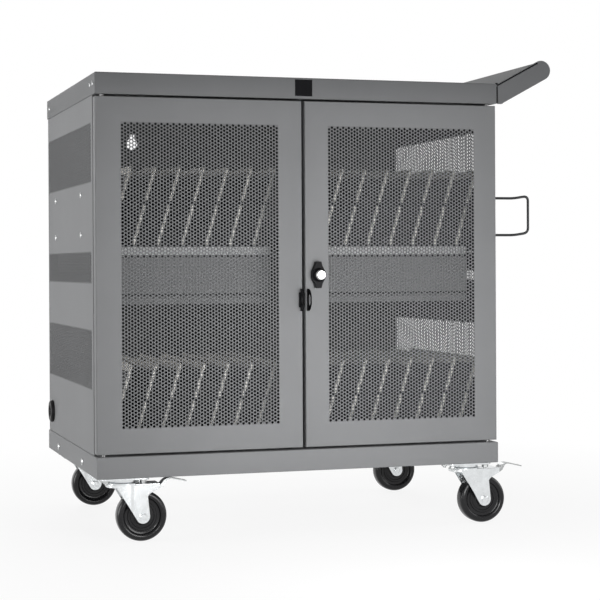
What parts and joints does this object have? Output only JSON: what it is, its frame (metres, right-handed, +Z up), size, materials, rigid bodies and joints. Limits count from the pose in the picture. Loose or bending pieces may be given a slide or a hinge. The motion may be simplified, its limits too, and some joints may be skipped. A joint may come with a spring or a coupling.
{
  "type": "laptop charging cart",
  "caption": "Sheet-metal charging cart on swivel casters, with perforated double doors, leaning divider racks in two tiers, a push handle and a cord hook.",
  "frame": {"origin": "middle of the footprint box, on the floor", "axes": "+X towards the push handle, +Y from the doors to the back, +Z up"},
  "size_m": [1.0004, 0.623, 0.9694],
  "materials": {
    "grey_steel": "fine-textured satin grey powder coat",
    "divider_steel": "satin dark grey powder coat",
    "zinc_steel": "bright zinc plate",
    "wheel_rubber": "hard black rubber",
    "black_metal": "black coat",
    "black_plastic": "matte black",
    "chrome": "polished",
    "dark_wire": "satin dark grey coat"
  },
  "bodies": {
    "cabinet": {"base_pan": "grey_steel", "left_side_panel": "grey_steel", "right_side_panel": "grey_steel", "back_panel": "grey_steel", "lid": "grey_steel", "push_handle": "grey_steel", "mid_shelf": "grey_steel", "left_charger_box": "grey_steel", "right_charger_box": "grey_steel", "outlet_strip": "black_plastic", "cord_hook": "dark_wire", "cord_grommet": "black_plastic", "lower_left_divider_1": "divider_steel", "lower_left_divider_2": "divider_steel", "lower_left_divider_3": "divider_steel", "lower_left_divider_4": "divider_steel", "lower_left_divider_5": "divider_steel", "lower_left_divider_6": "divider_steel", "lower_left_divider_7": "divider_steel", "lower_right_divider_1": "divider_steel", "lower_right_divider_2": "divider_steel", "lower_right_divider_3": "divider_steel", "lower_right_divider_4": "divider_steel", "lower_right_divider_5": "divider_steel", "lower_right_divider_6": "divider_steel", "lower_right_divider_7": "divider_steel", "upper_left_divider_1": "divider_steel", "upper_left_divider_2": "divider_steel", "upper_left_divider_3": "divider_steel", "upper_left_divider_4": "divider_steel", "upper_left_divider_5": "divider_steel", "upper_left_divider_6": "divider_steel", "upper_left_divider_7": "divider_steel", "upper_right_divider_1": "divider_steel", "upper_right_divider_2": "divider_steel", "upper_right_divider_3": "divider_steel", "upper_right_divider_4": "divider_steel", "upper_right_divider_5": "divider_steel", "upper_right_divider_6": "divider_steel", "upper_right_divider_7": "divider_steel", "front_left_caster_plate": "zinc_steel", "front_right_caster_plate": "zinc_steel", "rear_left_caster_plate": "zinc_steel", "rear_right_caster_plate": "zinc_steel"},
    "left_door": {"left_door": "grey_steel", "left_padlock_ear": "black_metal"},
    "right_door": {"right_door": "grey_steel", "right_padlock_ear": "black_metal"},
    "lock_handle": {"lock_handle": "black_metal"},
    "lock_cylinder": {"lock_cylinder": "chrome"},
    "front_left_caster": {"front_left_caster_fork": "zinc_steel"},
    "front_left_caster_wheel": {"front_left_caster_wheel": "wheel_rubber"},
    "front_left_brake": {"front_left_brake_pedal": "zinc_steel"},
    "front_right_caster": {"front_right_caster_fork": "zinc_steel"},
    "front_right_caster_wheel": {"front_right_caster_wheel": "wheel_rubber"},
    "front_right_brake": {"front_right_brake_pedal": "zinc_steel"},
    "rear_left_caster": {"rear_left_caster_fork": "zinc_steel"},
    "rear_left_caster_wheel": {"rear_left_caster_wheel": "wheel_rubber"},
    "rear_right_caster": {"rear_right_caster_fork": "zinc_steel"},
    "rear_right_caster_wheel": {"rear_right_caster_wheel": "wheel_rubber"}
  },
  "joints": [
    {"name": "left_door_hinge", "type": "hinge", "parent": "cabinet", "child": "left_door", "pos_m": [-0.47716, -0.26525, 0.528], "axis": [0, 0, -1], "range_deg": [0, 180]},
    {"name": "right_door_hinge", "type": "hinge", "parent": "cabinet", "child": "right_door", "pos_m": [0.33484, -0.26525, 0.528], "axis": [0, 0, 1], "range_deg": [0, 180]},
    {"name": "lock_handle_turn", "type": "hinge", "parent": "right_door", "child": "lock_handle", "pos_m": [-0.04346, -0.28025, 0.522], "axis": [0, -1, 0], "range_deg": [0, 90]},
    {"name": "lock_cylinder_turn", "type": "hinge", "parent": "lock_handle", "child": "lock_cylinder", "pos_m": [-0.04346, -0.28025, 0.522], "axis": [0, -1, 0], "range_deg": [0, 90]},
    {"name": "front_left_caster_swivel", "type": "hinge", "parent": "cabinet", "child": "front_left_caster", "pos_m": [-0.43516, -0.24225, 0.116], "axis": [0, 0, 1], "continuous": true},
    {"name": "front_left_caster_roll", "type": "hinge", "parent": "front_left_caster", "child": "front_left_caster_wheel", "pos_m": [-0.39916, -0.24225, 0.05], "axis": [0, 1, 0], "continuous": true},
    {"name": "front_left_brake_press", "type": "hinge", "parent": "front_left_caster", "child": "front_left_brake", "pos_m": [-0.39016, -0.24225, 0.104], "axis": [0, 1, 0], "range_deg": [0, 12]},
    {"name": "front_right_caster_swivel", "type": "hinge", "parent": "cabinet", "child": "front_right_caster", "pos_m": [0.29284, -0.24225, 0.116], "axis": [0, 0, 1], "continuous": true},
    {"name": "front_right_caster_roll", "type": "hinge", "parent": "front_right_caster", "child": "front_right_caster_wheel", "pos_m": [0.32884, -0.24225, 0.05], "axis": [0, 1, 0], "continuous": true},
    {"name": "front_right_brake_press", "type": "hinge", "parent": "front_right_caster", "child": "front_right_brake", "pos_m": [0.33784, -0.24225, 0.104], "axis": [0, 1, 0], "range_deg": [0, 12]},
    {"name": "rear_left_caster_swivel", "type": "hinge", "parent": "cabinet", "child": "rear_left_caster", "pos_m": [-0.43516, 0.27175, 0.116], "axis": [0, 0, 1], "continuous": true},
    {"name": "rear_left_caster_roll", "type": "hinge", "parent": "rear_left_caster", "child": "rear_left_caster_wheel", "pos_m": [-0.39916, 0.27175, 0.05], "axis": [0, 1, 0], "continuous": true},
    {"name": "rear_right_caster_swivel", "type": "hinge", "parent": "cabinet", "child": "rear_right_caster", "pos_m": [0.29284, 0.27175, 0.116], "axis": [0, 0, 1], "continuous": true},
    {"name": "rear_right_caster_roll", "type": "hinge", "parent": "rear_right_caster", "child": "rear_right_caster_wheel", "pos_m": [0.32884, 0.27175, 0.05], "axis": [0, 1, 0], "continuous": true}
  ]
}
